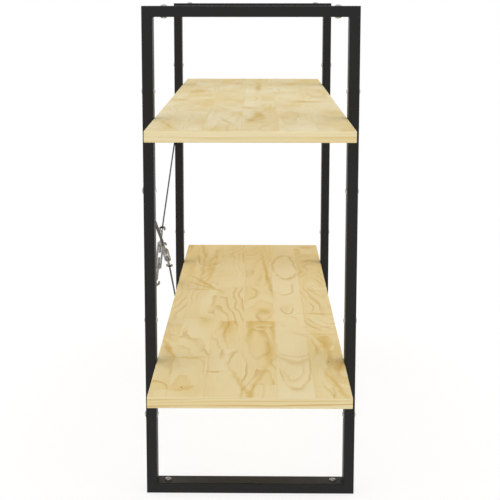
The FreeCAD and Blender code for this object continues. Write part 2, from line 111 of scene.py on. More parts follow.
class BookcaseHardware(bpy.types.PropertyGroup):
    """Sizes of the bolts, nuts, screws, hooks and turnbuckles."""

    head_diameter: length("Head", "Diameter of a domed head", 0.0095)
    head_rim: length("Rim", "Straight edge under the dome", 0.0006)
    head_dome: length("Dome", "Height of the dome over its rim", 0.0018)
    head_sides: IntProperty(name="Sides", description="Facets round a head", default=28, min=12, max=64)
    socket_width: length("Socket", "Width across the flats of the hexagon socket", 0.0025)
    socket_depth: length("Socket depth", "Depth of the hexagon socket", 0.0012)
    soft_edge: length("Soft edge", "Rounding of machined edges", 0.00014)
    bolt_diameter: length("Bolt", "Diameter of a bolt's stem", 0.004)
    bolt_length: length("Bolt length", "Length of a frame bolt's stem", 0.012)
    barrel_diameter: length("Barrel", "Diameter of a barrel nut's stem", 0.006)
    barrel_length: length("Barrel length", "Length of a barrel nut's stem", 0.014)
    base_screw_length: length("Base screw", "Length of a base screw's stem", 0.0106)
    rivet_flange: length("Rivet flange", "Thickness of the flange under a base screw", 0.0008)
    screw_head: length("Screw head", "Diameter of a shelf screw's head", 0.008)
    screw_dome: length("Screw dome", "Height of a shelf screw's dome", 0.0014)
    screw_length: length("Screw length", "Length of a shelf screw's stem", 0.0255)
    screw_spread: length("Screw spread", "Distance between the two screws of a rail", 0.18)
    bar_inset: length("Bar bolt inset", "From the outer corner to a bar's bolt", 0.030)
    bolt_heights: FloatVectorProperty(
        name="Bolt heights", description="Heights of the four bolts on a post", unit="LENGTH", size=4,
        default=(0.115, 0.255, 0.4425, 0.5825),
    )
    strip_thickness: length("Strip", "Thickness of a brace strip under its bolt", 0.001)
    buckle_length: length("Turnbuckle", "Length of a turnbuckle's body", 0.070)
    buckle_width: length("Turnbuckle width", "Width over the two rails", 0.011)
    rail_width: length("Rail width", "Width of a turnbuckle's rail", 0.0031)
    rail_thickness: length("Rail thickness", "Thickness of a turnbuckle's rail", 0.003)
    rail_rounding: length("Rail rounding", "Rounding along a cast rail", 0.0007)
    boss_diameter: length("Boss", "Diameter of a threaded boss", 0.0085)
    boss_length: length("Boss length", "Length of a threaded boss", 0.009)
    bore_diameter: length("Bore", "Bore through the bosses", 0.00392)
    wire: length("Hook wire", "Diameter of the hook's wire", 0.0038)
    bend_radius: length("Bend radius", "Radius of the hook's bends, on the wire's centre", 0.0042)
    thread_engaged: length("Thread engaged", "Thread inside the body", 0.027)
    thread_shown: length("Thread shown", "Thread outside the body", 0.030)
    thread_pitch: length("Pitch", "Distance from one thread to the next", 0.0007)
    thread_depth: length("Thread depth", "Depth of the thread", 0.00034)
    hook_leg: length("Hook leg", "Straight wire before the bowl", 0.003)
    hook_tip: length("Hook tip", "Straight wire after the bowl", 0.003)


class BookcaseStage(bpy.types.PropertyGroup):
    """Camera, floor and lights."""

    eye: FloatVectorProperty(
        name="Eye", description="Place of the camera", subtype="TRANSLATION", unit="LENGTH",
        default=(-2.0421, -0.0080, 0.7127),
    )
    tilt: number("Tilt", "How far the camera looks down", 0.1563, subtype="ANGLE")
    turn: number("Turn", "How far the camera looks to the left", 0.0133, subtype="ANGLE")
    lens: number("Lens", "Focal length in millimetres", 88.40, unit="CAMERA")
    shift: FloatVectorProperty(name="Shift", description="Lens shift", size=2, default=(0.02, -0.12))
    floor_radius: length("Floor", "Radius of the floor", 12.0)
    shadow_start: length("Shadow fades from", "Distance at which the floor starts to turn white", 0.9)
    shadow_end: length("Shadow fades to", "Distance at which the floor is white", 1.9)
    ring_strength: number("Ring", "Strength of the light from all round", 1.56, min=0)
    zenith_strength: number("Zenith", "Strength of the light from above", 0.38, min=0)
    side_power: number("Sides", "Power of the two side softboxes", 18, subtype="POWER")


# Selecting and finishing, as by hand

SHARP = 40  # degrees at an edge, from which it counts as sharp
SQUARE_ON = 0.9  # share of a face's normal along an axis, over which the face counts as square to it


def drop_selection():
    """Leave edit mode with nothing selected."""
    if bpy.context.mode != "OBJECT":
        bpy.ops.object.mode_set(mode="OBJECT")
    bpy.ops.object.select_all(action="DESELECT")


def activate(piece):
    """Select one piece alone."""
    drop_selection()
    piece.select_set(True)
    bpy.context.view_layer.objects.active = piece


def take_new(name):
    """Name the primitive that was just added and set its place into its mesh."""
    piece = bpy.context.object
    piece.name = name
    piece.data.name = name
    bpy.ops.object.transform_apply(location=True, rotation=True, scale=True)
    return piece


def add_rod(name, diameter, depth, start, sides):
    """Add a closed rod that runs along X from its start."""
    drop_selection()
    bpy.ops.mesh.primitive_cylinder_add(
        vertices=sides, radius=diameter / 2, depth=depth,
        location=(start + depth / 2, 0, 0), rotation=(0, math.radians(90), 0),
    )
    return take_new(name)


def select_only(piece, kind, wanted):
    """Enter edit mode with only the wanted faces or edges selected."""
    activate(piece)
    bpy.ops.object.mode_set(mode="EDIT")
    bpy.ops.mesh.select_mode(type=kind)
    bpy.ops.mesh.select_all(action="DESELECT")
    bpy.ops.object.mode_set(mode="OBJECT")
    parts = piece.data.polygons if kind == "FACE" else piece.data.edges
    chosen = [part for part in parts if wanted(part)]
    if not chosen:
        raise RuntimeError(f"{piece.name} has no such {kind.lower()}")
    for part in chosen:
        part.select = True
    bpy.ops.object.mode_set(mode="EDIT")


def raise_cap(radius, height, rings):
    """Raise the selected round face into a cap of a ball, ring by ring."""
    ball = (radius ** 2 + height ** 2) / (2 * height)
    opening = 2 * math.atan2(height, radius)
    angles = [opening * (1 - ring / rings) for ring in range(rings)]
    for outer, inner in zip(angles, angles[1:]):
        bpy.ops.mesh.inset(
            thickness=ball * (math.sin(outer) - math.sin(inner)),
            depth=ball * (math.cos(inner) - math.cos(outer)),
        )


def extrude(move):
    """Extrude what is selected along a vector."""
    bpy.ops.mesh.extrude_region_move(TRANSFORM_OT_translate={"value": move})


def bend(angle, steps, x, y):
    """Sweep the selected face round an axis that stands along Z."""
    bpy.ops.mesh.spin(steps=steps, angle=angle, center=(x, y, 0), axis=(0, 0, 1))


def apply_modifier(piece, kind, **settings):
    """Add a modifier and apply it at once."""
    activate(piece)
    modifier = piece.modifiers.new(kind.lower(), kind)
    for name, value in settings.items():
        setattr(modifier, name, value)
    bpy.ops.object.modifier_apply(modifier=modifier.name)


def combine(piece, other, operation):
    """Unite a piece with another, or cut the other out of it, and drop the other."""
    apply_modifier(piece, "BOOLEAN", operation=operation, object=other, solver="EXACT")
    bpy.data.objects.remove(other)


def round_edges(piece, width, segments):
    """Round the sharp edges."""
    apply_modifier(
        piece, "BEVEL", width=width, segments=segments, limit_method="ANGLE", angle_limit=math.radians(SHARP)
    )


def shade(piece, sharpest=SHARP):
    """Shade smooth across shallow edges."""
    activate(piece)
    bpy.ops.object.shade_smooth_by_angle(angle=math.radians(sharpest))


def copy_to(pattern, places, name):
    """Copy a pattern to each place, with its own mesh, and join the copies into one piece."""
    copies = []
    for place in places:
        copy = pattern.copy()
        copy.data = pattern.data.copy()
        copy.data.transform(place)
        bpy.context.collection.objects.link(copy)
        copies.append(copy)
    piece = copies[0]
    if len(copies) > 1:
        activate(piece)
        for copy in copies:
            copy.select_set(True)
        bpy.ops.object.join()
    piece.name = name
    piece.data.name = name
    return piece


def settle(piece, body, node, material):
    """Let a piece stand for a node, ride on its body and wear its finish."""
    piece.data.materials.clear()
    piece.data.materials.append(material)
    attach(piece, body)
    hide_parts(node)


def cover(node, material):
    """Give a piece of the frame a finish of its own."""
    if node not in frame["nodes"]:
        raise RuntimeError(f"the frame has no piece named {node}")
    for slot in frame["nodes"][node].material_slots:
        slot.material = material


# Building shader nodes

NUMBER = "NodeSocketFloat"
VECTOR = "NodeSocketVector"

# Sockets of the Mix node, which has some for each kind of data under the same names

MIX_FACTOR = 0
VECTOR_A = 4
VECTOR_B = 5
VECTOR_RESULT = 1
COLOUR_A = 6
COLOUR_B = 7
COLOUR_RESULT = 2


class Wiring:
    """Adds nodes to one tree, each fed by values or by other nodes' sockets."""

    def __init__(self, tree):
        self.tree = tree

    def feed(self, socket, value):
        """Link a socket to another, or set its value."""
        if isinstance(value, bpy.types.NodeSocket):
            self.tree.links.new(value, socket)
        else:
            socket.default_value = value

    def add(self, kind, inputs=None, **settings):
        """Add a node with its settings, and its inputs by name or by number."""
        node = self.tree.nodes.new(kind)
        for name, value in settings.items():
            setattr(node, name, value)
        for name, value in (inputs or {}).items():
            self.feed(node.inputs[name], value)
        return node

    def math(self, operation, *values):
        """Work out one number."""
        return self.add("ShaderNodeMath", dict(enumerate(values)), operation=operation).outputs["Value"]

    def times(self, first, *others):
        """Multiply numbers."""
        product = first
        for other in others:
            product = self.math("MULTIPLY", product, other)
        return product

    def scale(self, value, factor, offset=0.0):
        """Multiply a number and add to it."""
        return self.math("MULTIPLY_ADD", value, factor, offset)

    def swing(self, value, span):
        """Stretch a number between 0 and 1 to a span round 0."""
        return self.scale(value, span, -span / 2)

    def vector(self, x, y, z):
        """Make a vector of three numbers."""
        return self.add("ShaderNodeCombineXYZ", {"X": x, "Y": y, "Z": z}).outputs["Vector"]

    def split(self, vector):
        """Take a vector apart."""
        return self.add("ShaderNodeSeparateXYZ", {"Vector": vector}).outputs

    def vector_math(self, operation, *values):
        """Work out a vector, or a number from vectors."""
        return self.add("ShaderNodeVectorMath", dict(enumerate(values)), operation=operation).outputs

    def smooth(self, value, low, high):
        """Go softly from 0 at the low end to 1 at the high end."""
        inputs = {"Value": value, "From Min": low, "From Max": high}
        return self.add("ShaderNodeMapRange", inputs, interpolation_type="SMOOTHSTEP").outputs["Result"]

    def noise(self, vector, scale=1.0, detail=2.0, roughness=0.5):
        """Add soft noise: a number between 0 and 1, and a colour."""
        inputs = {"Vector": vector, "Scale": scale, "Detail": detail, "Roughness": roughness}
        return self.add("ShaderNodeTexNoise", inputs).outputs

    def dice(self, vector):
        """Draw a number and a colour that stay the same for one vector."""
        return self.add("ShaderNodeTexWhiteNoise", {"Vector": vector}, noise_dimensions="3D").outputs

    def mix(self, factor, first, second, blend="MIX"):
        """Mix two colours."""
        inputs = {MIX_FACTOR: factor, COLOUR_A: first, COLOUR_B: second}
        return self.add("ShaderNodeMix", inputs, data_type="RGBA", blend_type=blend).outputs[COLOUR_RESULT]

    def choose(self, mask, first, second):
        """Take the second vector where the mask is 1, and the first elsewhere."""
        inputs = {MIX_FACTOR: mask, VECTOR_A: first, VECTOR_B: second}
        return self.add("ShaderNodeMix", inputs, data_type="VECTOR").outputs[VECTOR_RESULT]

    def mix_shaders(self, factor, first, second):
        """Mix what two shaders give."""
        return self.add("ShaderNodeMixShader", {0: factor, 1: first, 2: second}).outputs["Shader"]

    def group(self, tree, inputs):
        """Place a node group."""
        return self.add("ShaderNodeGroup", inputs, node_tree=tree).outputs


def new_group(name, vectors, numbers, results):
    """Start a node group with its sockets, and return it with its wiring and its two ends."""
    tree = bpy.data.node_groups.new(name, "ShaderNodeTree")
    sockets = ((vectors, "INPUT", VECTOR), (numbers, "INPUT", NUMBER), (results, "OUTPUT", NUMBER))
    for labels, end, kind in sockets:
        for label in labels:
            tree.interface.new_socket(label, in_out=end, socket_type=kind)
    wiring = Wiring(tree)
    return tree, wiring, wiring.add("NodeGroupInput").outputs, wiring.add("NodeGroupOutput").inputs


def new_material(name):
    """Start a material and return it with its wiring, its shader and its coordinates."""
    material = bpy.data.materials.new(name)
    material.use_nodes = True
    wiring = Wiring(material.node_tree)
    shader = material.node_tree.nodes["Principled BSDF"]
    place = wiring.add("ShaderNodeTexCoord").outputs
    return material, wiring, shader, place


def get_once(collection, name, make):
    """Find a material or node group by name, or make it."""
    return collection.get(name) or make(name)


# Metal finishes

MOTTLE_CLOUDS = 0.7
MOTTLE_GRAIN = 0.3


def make_mottle(name):
    """Soft cloudiness and fine texture: a tone round 1 and a height for bump."""
    tree, wiring, inside, out = new_group(
        name, ("Vector",), ("Cloud Size", "Grain Size", "Contrast"), ("Tone", "Height")
    )
    cloud_rate = wiring.math("DIVIDE", 1.0, inside["Cloud Size"])
    grain_rate = wiring.math("DIVIDE", 1.0, inside["Grain Size"])
    clouds = wiring.noise(inside["Vector"], cloud_rate, detail=4)["Fac"]
    grain = wiring.noise(inside["Vector"], grain_rate, detail=1)["Fac"]
    both = wiring.scale(clouds, MOTTLE_CLOUDS, wiring.scale(grain, MOTTLE_GRAIN))
    wiring.feed(out["Tone"], wiring.scale(wiring.swing(both, 1.0), inside["Contrast"], 1.0))
    wiring.feed(out["Height"], grain)
    return tree


def finish_metal(
    name, base_colour, metallic, roughness, cloud_size, grain_size, contrast, bump, specular=0.5
):
    """Make a coated or plated metal with soft mottling, uneven gloss and a fine texture."""
    material, wiring, shader, place = new_material(name)
    mottle = get_once(bpy.data.node_groups, "mottle", make_mottle)
    tone = wiring.group(mottle, {
        "Vector": place["Object"], "Cloud Size": cloud_size, "Grain Size": grain_size, "Contrast": contrast,
    })
    shader.inputs["Metallic"].default_value = metallic
    shader.inputs["Specular IOR Level"].default_value = specular
    wiring.feed(shader.inputs["Base Color"], wiring.mix(1.0, base_colour, tone["Tone"], blend="MULTIPLY"))
    wiring.feed(shader.inputs["Roughness"], wiring.times(tone["Tone"], roughness))
    relief = wiring.add("ShaderNodeBump", {"Strength": 1.0, "Distance": bump, "Height": tone["Height"]})
    wiring.feed(shader.inputs["Normal"], relief.outputs["Normal"])
    return material


def make_frame_coat(name):
    """Charcoal powder coat: matt, with a fine orange peel."""
    return finish_metal(
        name, bpy.context.scene.bookcase_colours.coat, metallic=0.0, roughness=0.52, specular=0.30,
        cloud_size=0.09, grain_size=0.0011, contrast=0.30, bump=0.00003,
    )


def make_strip_coat(name):
    """Dark coat of the strips, thinner and with less sheen."""
    return finish_metal(
        name, bpy.context.scene.bookcase_colours.strip, metallic=0.0, roughness=0.50, specular=0.15,
        cloud_size=0.03, grain_size=0.0008, contrast=0.45, bump=0.00003,
    )


def make_bright_plate(name):
    """Bright plated heads."""
    return finish_metal(
        name, bpy.context.scene.bookcase_colours.bolt, metallic=1.0, roughness=0.42,
        cloud_size=0.004, grain_size=0.0006, contrast=0.35, bump=0.00001,
    )


def make_zinc_plate(name):
    """Zinc plate with a cloudy passivated skin."""
    return finish_metal(
        name, bpy.context.scene.bookcase_colours.zinc, metallic=1.0, roughness=0.38,
        cloud_size=0.006, grain_size=0.0007, contrast=0.55, bump=0.00002,
    )


# Marks on a board


class Mark:
    """A mark on a board: its middle and reach in metres, its strength, its tilt in degrees and its side.

    A ring line has a width too, as a share of its reach.
    """

    def __init__(self, along, across, long, wide, strength, tilt=0.0, side=0, width=0.3):
        self.spot = (along, across, 0.0)
        self.reach = (long, wide, 1.0)
        self.strength = strength
        self.tilt = math.radians(tilt)
        self.side = side
        self.width = width


def make_swell(name):
    """A soft mark round one spot, long and narrow along its tilt.

    The rise is 1 at the spot. With a side of -1 or 1, only the half nearer or farther along the grain
    is kept, up to a soft edge.
    """
    tree, wiring, inside, out = new_group(
        name, ("Vector", "Spot", "Reach"), ("Tilt", "Side", "Soft Edge"), ("Rise", "Kept")
    )
    offset = wiring.vector_math("SUBTRACT", inside["Vector"], inside["Spot"])["Vector"]
    turning = {"Vector": offset, "Angle": inside["Tilt"]}
    turned = wiring.add("ShaderNodeVectorRotate", turning, rotation_type="Z_AXIS", invert=True)
    ratio = wiring.vector_math("DIVIDE", turned.outputs["Vector"], inside["Reach"])["Vector"]
    distance = wiring.vector_math("LENGTH", ratio)["Value"]
    wiring.feed(out["Rise"], wiring.math("EXPONENT", wiring.times(distance, distance, -1.0)))
    ahead = wiring.times(wiring.split(ratio)["X"], inside["Side"])
    wiring.feed(out["Kept"], wiring.smooth(ahead, wiring.times(inside["Soft Edge"], -1.0), 0.0))
    return tree


# A single ring line: where it is darkest and where it ends inside, as shares of its mark's reach

ARC_CREST = 1.0
ARC_INNER = 0.95
ARC_SOFT_EDGE = 0.6


def rise_at(share):
    """Work out a mark's rise at a share of its reach."""
    return math.exp(-share ** 2)


def make_arc(name):
    """One ring line round a spot, at the mark's reach: closed, or open to one side."""
    tree, wiring, inside, out = new_group(name, ("Vector", "Spot", "Reach"), ("Side", "Start"), ("Line",))
    swell = get_once(bpy.data.node_groups, "ring_swell", make_swell)
    inputs = {label: inside[label] for label in ("Vector", "Spot", "Reach", "Side")}
    bulge = wiring.group(swell, {**inputs, "Soft Edge": ARC_SOFT_EDGE})
    growing = wiring.smooth(bulge["Rise"], inside["Start"], rise_at(ARC_CREST))
    ending = wiring.smooth(bulge["Rise"], rise_at(ARC_INNER), rise_at(ARC_CREST))
    wiring.feed(out["Line"], wiring.times(growing, ending, bulge["Kept"]))
    return tree


# Staves, glued edge to edge and end to end: sizes in metres, shifts in pieces and in noise cells

STAVE_WIDTH = 0.049
STAVE_LINE = 0.012  # one of the joints between staves, from the middle of the board
STAVE_DRAW = 3.0  # sets the lots of a stave apart from those of its pieces
STAVE_MATCH = 0.5  # stave numbers that differ by less are the same
PIECES_PER_METRE = 2.4
MORE_PIECES = 1.6  # at most, in a stave of shorter pieces
JOINT_SHIFT = 7.0
NOISE_SHIFT = 9.0
GLUE_LINE = 0.0004

# Growth rings round each piece's own pith, in metres

PITH_ACROSS = 0.05
PITH_DEPTH = 0.020
PITH_DEEPER = 0.045
PITH_LEAN = 0.08
PITH_WANDER = 0.040
RING_SPACING = 0.0055
WIDER_SPACING = 0.0045
RING_WAVE = 0.012

# Latewood lines: where one starts, is darkest and begins to end, as shares of its ring, and how it fades

LINE_START = 0.30
LATER_START = 0.35
LINE_CREST = 0.94
LINE_END = 0.95
LINE_WEAKEST = 0.25
FADE_GONE = 0.36
FADE_WHOLE = 0.62
FADE_SPARED = 0.3

# Tones from piece to piece and from ring to ring, and what a calm stave has less of

PIECE_TONES = 0.16
RING_TONES = 0.32
CALM_PALER = 0.20
CALM_FAINTER = 0.8
CALM_FEWER = 0.9

# Noise cells in a metre, along and across the grain

WANDER_RATE = 5.5  # along the grain alone
WAVE_RATES = (13.0, 42.0)
FADE_RATES = (9.0, 30.0)
CLOUD_RATES = (5.0, 16.0)
FIBRE_RATES = (16.0, 900.0)


def grain_noise(wiring, along, across, deep, rates, shift=0.0, **kind):
    """Add soft noise that is drawn out along the grain."""
    along_rate, across_rate = rates
    place = wiring.vector(
        wiring.scale(along, along_rate),
        wiring.scale(across, across_rate),
        wiring.scale(deep, across_rate, shift),
    )
    return wiring.noise(place, **kind)["Fac"]


def lay_staves(wiring, along, across, seed):
    """Part the board into staves and each stave into pieces, and draw lots for what each piece is like."""
    stave = wiring.scale(across, 1 / STAVE_WIDTH, -STAVE_LINE / STAVE_WIDTH)
    stave_number = wiring.math("FLOOR", stave)
    stave_draw = wiring.split(wiring.dice(wiring.vector(stave_number, seed, STAVE_DRAW))["Color"])
    rate = wiring.scale(stave_draw["X"], MORE_PIECES, PIECES_PER_METRE)
    run = wiring.scale(along, rate, wiring.scale(stave_draw["Y"], JOINT_SHIFT))
    piece_number = wiring.math("FLOOR", run)
    first_draw = wiring.dice(wiring.vector(stave_number, piece_number, seed))
    second_draw = wiring.dice(wiring.vector(piece_number, seed, stave_number))
    spacing, fade, tone = wiring.split(second_draw["Color"])
    return SimpleNamespace(
        stave=stave_number,
        across_share=wiring.swing(wiring.math("FRACT", stave), 1.0),
        number=piece_number,
        along_share=wiring.math("FRACT", run),
        pith=wiring.split(first_draw["Color"]),
        spacing=spacing,
        fade=fade,
        tone=tone,
        shift=wiring.scale(second_draw["Value"], NOISE_SHIFT),
    )


def grow_rings(wiring, along, across, deep, piece, calm):
    """Count the growth rings from the pith of a piece outwards."""
    pith_side, pith_depth, pith_tilt = piece.pith
    from_middle = wiring.scale(piece.across_share, STAVE_WIDTH)
    from_pith = wiring.math("SUBTRACT", from_middle, wiring.swing(pith_side, PITH_ACROSS))
    wander = wiring.noise(wiring.vector(wiring.scale(along, WANDER_RATE), piece.shift, piece.stave), detail=1)
    lean = wiring.times(wiring.swing(pith_tilt, PITH_LEAN), wiring.swing(piece.along_share, 1.0))
    depth = wiring.scale(pith_depth, PITH_DEEPER, PITH_DEPTH)
    depth = wiring.math("ADD", depth, wiring.swing(wander["Fac"], PITH_WANDER))
    depth = wiring.math("ADD", depth, lean)
    radius = wiring.vector_math("LENGTH", wiring.vector(from_pith, depth, 0.0))["Value"]
    wave = grain_noise(wiring, along, across, deep, WAVE_RATES, piece.shift, detail=2, roughness=0.45)
    radius = wiring.math("ADD", radius, wiring.swing(wave, RING_WAVE))
    rings = wiring.math("DIVIDE", radius, wiring.scale(piece.spacing, WIDER_SPACING, RING_SPACING))
    return wiring.times(rings, wiring.scale(calm, -CALM_FEWER, 1.0))


def draw_lines(wiring, along, across, rings, piece, calm):
    """Draw the dark line at the end of each ring, and pick the ring's tone."""
    share = wiring.math("FRACT", rings)
    draw = wiring.dice(wiring.vector(wiring.math("FLOOR", rings), piece.number, piece.stave))
    tone, strength, start = wiring.split(draw["Color"])
    growing = wiring.smooth(share, wiring.scale(start, LATER_START, LINE_START), LINE_CREST)
    ending = wiring.smooth(share, 1.0, LINE_END)
    strength = wiring.scale(strength, 1 - LINE_WEAKEST, LINE_WEAKEST)
    fading = grain_noise(wiring, along, across, 0.0, FADE_RATES, piece.shift, detail=1)
    fading = wiring.smooth(fading, FADE_GONE, FADE_WHOLE)
    fading = wiring.math("MAXIMUM", fading, wiring.scale(piece.fade, FADE_SPARED))
    line = wiring.times(growing, ending, strength, wiring.scale(calm, -CALM_FAINTER, 1.0), fading)
    return line, tone


def make_figure(name):
    """Growth rings of edge-glued, end-jointed pine staves, cut along the grain.

    The vector runs along the grain in X and across it in Y. Each piece of a stave has its own pith,
    so its rings show as arches, long loops or straight lines. A calm stave is pale and has hardly any
    rings of its own.
    """
    tree, wiring, inside, out = new_group(
        name, ("Vector",), ("Rise", "Seed", "Calm Stave"), ("Line", "Cloud", "Patch", "Glue", "Fibre", "Calm")
    )
    along, across, deep = wiring.split(inside["Vector"])
    piece = lay_staves(wiring, along, across, inside["Seed"])
    calm = wiring.math("COMPARE", piece.stave, inside["Calm Stave"], STAVE_MATCH)
    rings = wiring.math("ADD", grow_rings(wiring, along, across, deep, piece, calm), inside["Rise"])
    line, ring_tone = draw_lines(wiring, along, across, rings, piece, calm)
    clouds = grain_noise(wiring, along, across, deep, CLOUD_RATES, piece.shift, detail=3)
    tones = wiring.math("ADD", wiring.swing(piece.tone, PIECE_TONES), wiring.swing(ring_tone, RING_TONES))
    from_middle = wiring.math("ABSOLUTE", piece.across_share)
    side_glue = wiring.smooth(from_middle, 0.5 - GLUE_LINE / STAVE_WIDTH, 0.5)
    end_glue = wiring.math("LESS_THAN", piece.along_share, GLUE_LINE * PIECES_PER_METRE)
    results = {
        "Line": line,
        "Cloud": wiring.swing(clouds, 1.0),
        "Patch": wiring.scale(calm, -CALM_PALER, tones),
        "Glue": wiring.math("MAXIMUM", side_glue, end_glue),
        "Fibre": grain_noise(wiring, along, across, deep, FIBRE_RATES, detail=3, roughness=0.6),
        "Calm": calm,
    }
    for label, value in results.items():
        wiring.feed(out[label], value)
    return tree


# Pine on the two shelves: how the figure is read on the edges and the ends of a board

FACING = 0.7  # share of the normal along X or Y, over which a place is on an end or an edge
EDGE_STRETCH = 2.2
EDGE_RINGS = 330.0  # in a metre of thickness
END_STRETCH = 0.35

# Ring lines and stains that drift from their marks: noise cells in a metre, and reach in metres

ARC_DRIFT_RATE = 16.0
ARC_DRIFT = (0.060, 0.016)
ARC_GONE = 0.30
ARC_WHOLE = 0.55
STAIN_DRIFT_RATE = 45.0
STAIN_DRIFT = (0.022, 0.011)
STAIN_EDGE = 0.06

# How much each thing adds to the colour

STAIN_WARMTH = 0.8
STAIN_LINES = 0.5
STAIN_DARKNESS = 0.38
FIBRE_CONTRAST = 0.14
GLUE_DARKNESS = 0.25
# painted shade: the ends are darkened because they catch more of the light from all round than the tops
END_PAINTED_SHADE = 0.12
KNOT_START = 0.25
KNOT_FULL = 0.75

# Painted highlight along the top of the edges and the ends, where a rounded corner would catch the light:
# metres below the top, and how pale it is

HIGHLIGHT_START = 0.0022
HIGHLIGHT_END = 0.0034
HIGHLIGHT_PALE = 0.5

# Matt lacquer

PINE_ROUGHNESS = 0.56
LINE_GLOSS = 0.12
PINE_SPECULAR = 0.04
RELIEF_LINES = 0.5
RELIEF_FIBRES = 0.5
RELIEF_STRENGTH = 0.6
RELIEF_DEPTH = 0.00002


def place_by_face(wiring, x, y, height, on_edge, on_end, edge_stave):
    """Choose coordinates along and across the grain for the faces, the long edges and the ends."""
    chosen = wiring.vector(x, y, height)
    across = wiring.scale(height, EDGE_STRETCH, edge_stave)
    for mask, along, deep in ((on_edge, x, y), (on_end, wiring.scale(y, END_STRETCH), x)):
        chosen = wiring.choose(mask, chosen, wiring.vector(along, across, deep))
    return chosen


def drift(wiring, x, y, rate, reach, detail):
    """Let a place on a board drift a little, and draw one more number there."""
    noise = wiring.noise(wiring.vector(x, y, 0.0), rate, detail=detail)
    drift_along, drift_across, spare = wiring.split(noise["Color"])
    place = wiring.vector(
        wiring.math("ADD", x, wiring.swing(drift_along, reach[0])),
        wiring.math("ADD", y, wiring.swing(drift_across, reach[1])),
        0.0,
    )
    return place, spare


def spread_marks(wiring, vector, marks):
    """Add up the marks of a board."""
    swell = get_once(bpy.data.node_groups, "ring_swell", make_swell)
    total = 0.0
    for mark in marks:
        bulge = wiring.group(swell, {
            "Vector": vector, "Spot": mark.spot, "Reach": mark.reach, "Tilt": mark.tilt,
            "Side": mark.side, "Soft Edge": STAIN_EDGE,
        })
        rise = wiring.times(bulge["Rise"], bulge["Kept"]) if mark.side else bulge["Rise"]
        total = wiring.scale(rise, mark.strength, total)
    return total


def draw_arcs(wiring, x, y, arcs):
    """Draw the single ring lines of a board, drifting a little and fading here and there."""
    arc_line = get_once(bpy.data.node_groups, "ring_arc", make_arc)
    place, fade = drift(wiring, x, y, ARC_DRIFT_RATE, ARC_DRIFT, detail=2)
    total = 0.0
    for arc in arcs:
        line = wiring.group(arc_line, {
            "Vector": place, "Spot": arc.spot, "Reach": arc.reach, "Side": arc.side,
            "Start": rise_at(ARC_CREST + arc.width),
        })
        total = wiring.math("MAXIMUM", wiring.times(line["Line"], arc.strength), total)
    return wiring.times(total, wiring.smooth(fade, ARC_GONE, ARC_WHOLE))


def tint_wood(wiring, board, grain, line, stain, on_side):
    """Mix the wood's own colour: warm and pale parts, fibres and ring lines."""
    colours = bpy.context.scene.bookcase_colours
    warmth = wiring.scale(grain["Cloud"], board.clouds, board.warmth)
    warmth = wiring.scale(grain["Patch"], board.patches, warmth)
    warmth = wiring.scale(stain, STAIN_WARMTH, warmth)
    warmth = wiring.scale(on_side, board.side_warmth, warmth)
    wood = wiring.mix(warmth, colours.sapwood, colours.heartwood)
    fibre_tone = wiring.scale(grain["Fibre"], FIBRE_CONTRAST, 1 - FIBRE_CONTRAST / 2)
    wood = wiring.mix(1.0, wood, fibre_tone, blend="MULTIPLY")
    line_share = wiring.scale(on_side, board.side_lines - board.lines, board.lines)
    line_share = wiring.scale(stain, STAIN_LINES, line_share)
    return wiring.mix(wiring.times(line, line_share), wood, colours.latewood)


def make_pine(name, top, board):
    """Edge-glued pine under a clear matt lacquer. The grain runs lengthwise, also along the edges."""
    colours = bpy.context.scene.bookcase_colours
    material, wiring, shader, place = new_material(name)
    x, y, z = wiring.split(place["Object"])
    height = wiring.scale(z, 1.0, -top)
    facing = wiring.split(place["Normal"])
    on_end = wiring.math("GREATER_THAN", wiring.math("ABSOLUTE", facing["X"]), FACING)
    on_edge = wiring.math("GREATER_THAN", wiring.math("ABSOLUTE", facing["Y"]), FACING)
    on_side = wiring.math("MAXIMUM", on_end, on_edge)
    on_face = wiring.math("SUBTRACT", 1.0, on_side)

    flat_place = wiring.vector(x, y, 0.0)
    ragged_place, _ = drift(wiring, x, y, STAIN_DRIFT_RATE, STAIN_DRIFT, detail=3)
    layers = wiring.times(on_side, wiring.scale(height, EDGE_RINGS))
    stain = wiring.times(spread_marks(wiring, ragged_place, board.stains), on_face)
    grain = wiring.group(get_once(bpy.data.node_groups, "pine_figure", make_figure), {
        "Vector": place_by_face(wiring, x, y, height, on_edge, on_end, board.edge_stave),
        "Rise": wiring.scale(spread_marks(wiring, flat_place, board.rings), on_face, layers),
        "Seed": board.seed,
        "Calm Stave": board.calm_stave,
    })
    arcs = wiring.times(draw_arcs(wiring, x, y, board.arcs), grain["Calm"], on_face)
    line = wiring.math("MAXIMUM", grain["Line"], arcs)

    base = tint_wood(wiring, board, grain, line, stain, on_side)
    # Painted highlight: a pale band just under the top of the edges and the ends
    painted_highlight = wiring.times(wiring.smooth(height, -HIGHLIGHT_END, -HIGHLIGHT_START), on_side)
    base = wiring.mix(wiring.times(painted_highlight, HIGHLIGHT_PALE), base, colours.sapwood)
    base = wiring.mix(wiring.times(stain, STAIN_DARKNESS), base, colours.latewood)
    for knot in board.knots:
        core = spread_marks(wiring, flat_place, [knot])
        base = wiring.mix(wiring.smooth(core, KNOT_START, KNOT_FULL), base, colours.knot)
    base = wiring.mix(wiring.times(grain["Glue"], GLUE_DARKNESS), base, colours.latewood)
    # Painted shade: darken the ends, which the light from all round lights more than the tops
    base = wiring.mix(1.0, base, wiring.scale(on_end, -END_PAINTED_SHADE, 1.0), blend="MULTIPLY")
    wiring.feed(shader.inputs["Base Color"], base)
    wiring.feed(shader.inputs["Roughness"], wiring.scale(line, -LINE_GLOSS, PINE_ROUGHNESS))
    shader.inputs["Specular IOR Level"].default_value = PINE_SPECULAR
    relief = wiring.scale(line, RELIEF_LINES, wiring.times(grain["Fibre"], RELIEF_FIBRES))
    bump = wiring.add(
        "ShaderNodeBump", {"Strength": RELIEF_STRENGTH, "Distance": RELIEF_DEPTH, "Height": relief}
    )
    wiring.feed(shader.inputs["Normal"], bump.outputs["Normal"])
    return material


# Bolts, nuts and screws

